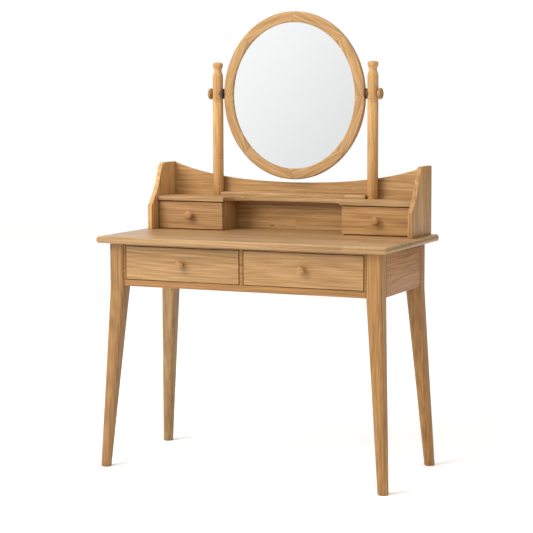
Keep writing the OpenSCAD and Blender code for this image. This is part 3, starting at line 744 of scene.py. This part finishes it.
def buildFrame():
    low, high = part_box("mirror_frame")
    t, w = high.y - low.y, ringLook["face"]
    q, lip = ringLook["rebate"], ringLook["lip"]
    section = [(0.0, 0.0055), (0.0004, 0.0036), (0.0016, 0.0018), (0.0034, 0.0006), (0.0060, 0.0),
               (w * 0.5, 0.0), (w - 0.0055, 0.0003), (w - 0.0036, 0.0008), (w - 0.0018, 0.0018),
               (w - 0.0005, 0.0032), (w, 0.0048), (w, lip), (w - q, lip), (w - q, t),
               (0.0045, t), (0.0022, t - 0.0006), (0.0006, t - 0.0022), (0.0, t - 0.0042)]
    start = bpy.data.meshes.new("frameSection")
    count = len(section)
    start.from_pydata([(d, y, 0) for d, y in section],
                      [(i, (i + 1) % count) for i in range(count)], [])
    g = Shape("ovalFrame", {
        "Half Width": (high.x - low.x) / 2, "Half Height": (high.z - low.z) / 2,
        "Steps": ringLook["steps"], "Segments": ringLook["segments"], "Seed": ringLook["seed"],
        "Centre": ((high.x + low.x) / 2, low.y, (high.z + low.z) / 2), "Material": woods["ring"]})
    hoop = g.add("GeometryNodeCurvePrimitiveCircle", None,
                 {"Resolution": g.given["Steps"], "Radius": 1.0}).outputs[0]
    profile = g.add("GeometryNodeMeshToCurve", None, {0: g.given["Geometry"]}).outputs[0]
    geometry = g.add("GeometryNodeCurveToMesh", None, {
        "Curve": hoop, "Profile Curve": profile}).outputs[0]

    x, y, z = g.split(g.add("GeometryNodeInputPosition").outputs[0])
    inward = (1.0 - (x * x + y * y).root()).positive()
    backward = z.positive()
    around = y.angleFrom(x)
    wedge = math.tau / g.size("Segments")
    onFace = g.add("GeometryNodeFieldOnDomain", {"domain": "FACE", "data_type": "FLOAT"},
                   {0: (around / wedge).whole()})
    segment = g.value(onFace)
    middle = (segment + 0.5) * wedge
    cos, sin = middle.cosine(), middle.sine()
    a, b = g.size("Half Width"), g.size("Half Height")
    atX, atZ = (a - inward) * around.cosine(), (b - inward) * around.sine()
    chordX, chordZ = a * sin * -1.0, b * cos
    chord = (chordX * chordX + chordZ * chordZ).root()
    chordX, chordZ = chordX / chord, chordZ / chord
    past = (y * cos - x * sin).angleFrom(x * cos + y * sin) / wedge + 0.5
    tone = g.add("FunctionNodeRandomValue", {"data_type": "FLOAT"}, {
        "ID": segment, "Seed": g.given["Seed"]}).outputs[1]
    for label, value in (
            ("grain", g.vector(atX * chordX + atZ * chordZ + segment * 1.37,
                               atX * chordZ - atZ * chordX + backward * 0.7 + segment * 2.11, 0.0)),
            ("seam", g.vector(past, tone, 0.0))):
        geometry = g.add("GeometryNodeStoreNamedAttribute", {
            "data_type": "FLOAT2", "domain": "CORNER"}, {
            "Geometry": geometry, "Name": label, "Value": value}).outputs[0]
    centreX, centreY, centreZ = g.split(g.given["Centre"])
    geometry = g.add("GeometryNodeSetPosition", None, {
        "Geometry": geometry,
        "Position": g.vector(centreX + atX, centreY + backward, centreZ + atZ)}).outputs[0]
    bm = bmesh.new()
    bm.from_mesh(g.build(geometry, start))
    mesh = cutSeats(closeUp(bm, "mirror_frame_wood", ringLook["sharpAngle"]))
    place(mesh, "mirror_frame_wood", woods["ring"], "mirror_frame")


# broad washers and round heads that hold the mirror's backing, round the back of the oval
backScrewLook = {"count": 8, "overlap": 0.0045, "washer": 0.006, "washerThick": 0.0008,
                 "head": 0.0034, "rise": 0.0016, "seatGap": 0.00015, "cutDepth": 0.02,
                 "seatSides": 40, "washerSides": 28, "headSides": 24, "headRings": 10}


def screwOval():                # half sizes of the oval that the screws stand on, and their seat
    low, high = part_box("mirror_frame")
    inset = ringLook["face"] - ringLook["rebate"] - backScrewLook["overlap"]
    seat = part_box("backing_screws")[1].y - backScrewLook["rise"]
    return (high.x - low.x) / 2 - inset, (high.z - low.z) / 2 - inset, seat


def cutSeats(mesh):             # round seats for the washers, cut into the frame's back
    low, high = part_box("mirror_frame")
    look = backScrewLook
    halfWidth, halfHeight, seat = screwOval()
    radius = look["washer"] + look["seatGap"]
    bm = bmesh.new()
    for k in range(look["count"]):
        t = math.pi * (2 * k + 1) / look["count"]
        at = Vector((halfWidth * math.cos(t), seat + look["cutDepth"] / 2,
                     (low.z + high.z) / 2 + halfHeight * math.sin(t)))
        bmesh.ops.create_cone(
            bm, cap_ends=True, segments=look["seatSides"], radius1=radius, radius2=radius,
            depth=look["cutDepth"],
            matrix=Matrix.Translation(at) @ Matrix.Rotation(math.radians(90), 4, "X"))
    pair = [bpy.data.objects.new("frameBlank", mesh),
            bpy.data.objects.new("seatCutter", closeUp(bm, "seatCutter"))]
    for one in pair:
        scene.collection.objects.link(one)
    cut = pair[0].modifiers.new("seats", "BOOLEAN")
    cut.object = pair[1]
    cut.solver = "EXACT"
    result = bpy.data.meshes.new_from_object(
        pair[0].evaluated_get(bpy.context.evaluated_depsgraph_get()))
    for one in pair:
        bpy.data.objects.remove(one)
    bm = bmesh.new()
    bm.from_mesh(result)
    return closeUp(bm, "mirror_frame_wood", ringLook["sharpAngle"])


buildFrame()


def buildBackScrews():
    low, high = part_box("mirror_frame")
    look = backScrewLook
    halfWidth, halfHeight, seat = screwOval()
    g = Shape("ovalScrews", {
        "Half Width": halfWidth, "Half Height": halfHeight, "Count": look["count"],
        "Washer Radius": look["washer"], "Head Radius": look["head"], "Rise": look["rise"],
        "Centre": ((low.x + high.x) / 2, seat, (high.z + low.z) / 2),
        "Material": metals["steel"]})
    oval = g.moved(
        g.moved(g.add("GeometryNodeMeshCircle", None, {
            "Vertices": g.given["Count"], "Radius": 1.0}).outputs[0],
            rotation=(0, 0, math.radians(180 / look["count"]))),
        scale=g.vector(g.size("Half Width"), g.size("Half Height"), 1.0))
    oval = g.moved(oval, rotation=(math.radians(90), 0, 0), translation=g.given["Centre"])
    washer = g.add("GeometryNodeMeshCylinder", None, {
        "Vertices": look["washerSides"], "Radius": g.given["Washer Radius"],
        "Depth": look["washerThick"]}).outputs[0]
    washer = g.moved(washer, translation=(0, 0, look["washerThick"] / 2))
    head = g.add("GeometryNodeMeshUVSphere", None, {
        "Segments": look["headSides"], "Rings": look["headRings"],
        "Radius": g.given["Head Radius"]}).outputs[0]
    head = g.moved(head, scale=g.vector(1.0, 1.0, g.size("Rise") / g.size("Head Radius")))
    both = g.add("GeometryNodeJoinGeometry")
    g.feed(both.inputs[0], washer)
    g.feed(both.inputs[0], head)
    outward = g.moved(both.outputs[0], rotation=(math.radians(-90), 0, 0))
    screws = g.add("GeometryNodeInstanceOnPoints", None, {
        "Points": oval, "Instance": outward}).outputs[0]
    mesh = g.build(screws, bpy.data.meshes.new("screwStart"))
    bm = bmesh.new()
    bm.from_mesh(mesh)
    place(closeUp(bm, "backing_screws_metal", 40), "backing_screws_metal", metals["steel"],
          "backing_screws")


buildBackScrews()
print("mirror built")

# CAD pieces that keep their shape and take a finish
finishes = {
    "top_brackets": metals["steel"], "bracket_screws": metals["steel"],
    "post_screws": metals["steel"], "clamp_bolt_left": metals["steel"],
    "clamp_bolt_right": metals["steel"], "pivot_inserts": metals["brass"],
    "pivot_washers": rubber, "pivot_saddles": woods["saddle"], "mirror_glass": silvered,
    "mirror_backing": woods["board"], "main_left_screw": metals["steel"],
    "main_right_screw": metals["steel"], "small_left_screw": metals["steel"],
    "small_right_screw": metals["steel"]}
for node, material in finishes.items():
    data = nodes[node].data
    data.materials.clear()
    data.materials.append(material)

# floor and light
bm = bmesh.new()
bmesh.ops.create_grid(bm, x_segments=2, y_segments=2, size=floorLook["size"] / 2)
floorMesh = bpy.data.meshes.new("floor")
bm.to_mesh(floorMesh)
bm.free()
floor = bpy.data.objects.new("floor", floorMesh)
scene.collection.objects.link(floor)
paper = Finish("paper")
floorMesh.materials.append(paper.surface({
    "Base Color": (*floorLook["color"], 1), "Roughness": 0.9, "Specular IOR Level": 0.0}))

# a soft studio sky: a panel at the front left, dimmer to the right, bright behind and above,
# and plain white where the camera looks straight at it
world = bpy.data.worlds.new("studio")
scene.world = world
sky = Finish("studio", world)
x, y, z = sky.split(sky.add("ShaderNodeTexCoord").outputs["Generated"])
panel = worldLook["panelLow"] + (z * 0.8 - x - 0.40).step(-0.10, 0.10) * (
    worldLook["panelHigh"] - worldLook["panelLow"])
behind = y.step(-0.15, 0.35)
level = panel * (1.0 - behind) + behind * worldLook["behind"]
toRight = x.step(-0.18, 0.30)
dim = worldLook["right"] + behind * (worldLook["rightBehind"] - worldLook["right"])
level = level * (1.0 - toRight) + toRight * dim
overhead = z.step(0.25, 0.75)
level = level * (1.0 - overhead) + overhead * worldLook["above"]
tint = sky.blend("MIX", toRight * (1.0 - overhead), (1, 1, 1, 1), worldLook["rightColor"])
seen = sky.value(sky.add("ShaderNodeLightPath"), "Is Camera Ray")
tint = sky.blend("MIX", seen, tint, (1, 1, 1, 1))
level = level * (1.0 - seen) + seen * worldLook["behind"]
shine = sky.add("ShaderNodeBackground", None, {"Color": tint, "Strength": level})
sky.add("ShaderNodeOutputWorld", None, {"Surface": shine.outputs[0]})

for look in lampLook:
    data = bpy.data.lights.new(look["name"], "AREA")
    data.size = look["size"]
    data.energy = look["power"]
    lamp = bpy.data.objects.new(look["name"], data)
    scene.collection.objects.link(lamp)
    lamp.location = look["at"]
    lamp.visible_glossy = False
    beam = Vector(look["aim"]) - Vector(look["at"])
    lamp.rotation_euler = beam.to_track_quat("-Z", "Y").to_euler()
print("floor and light set")
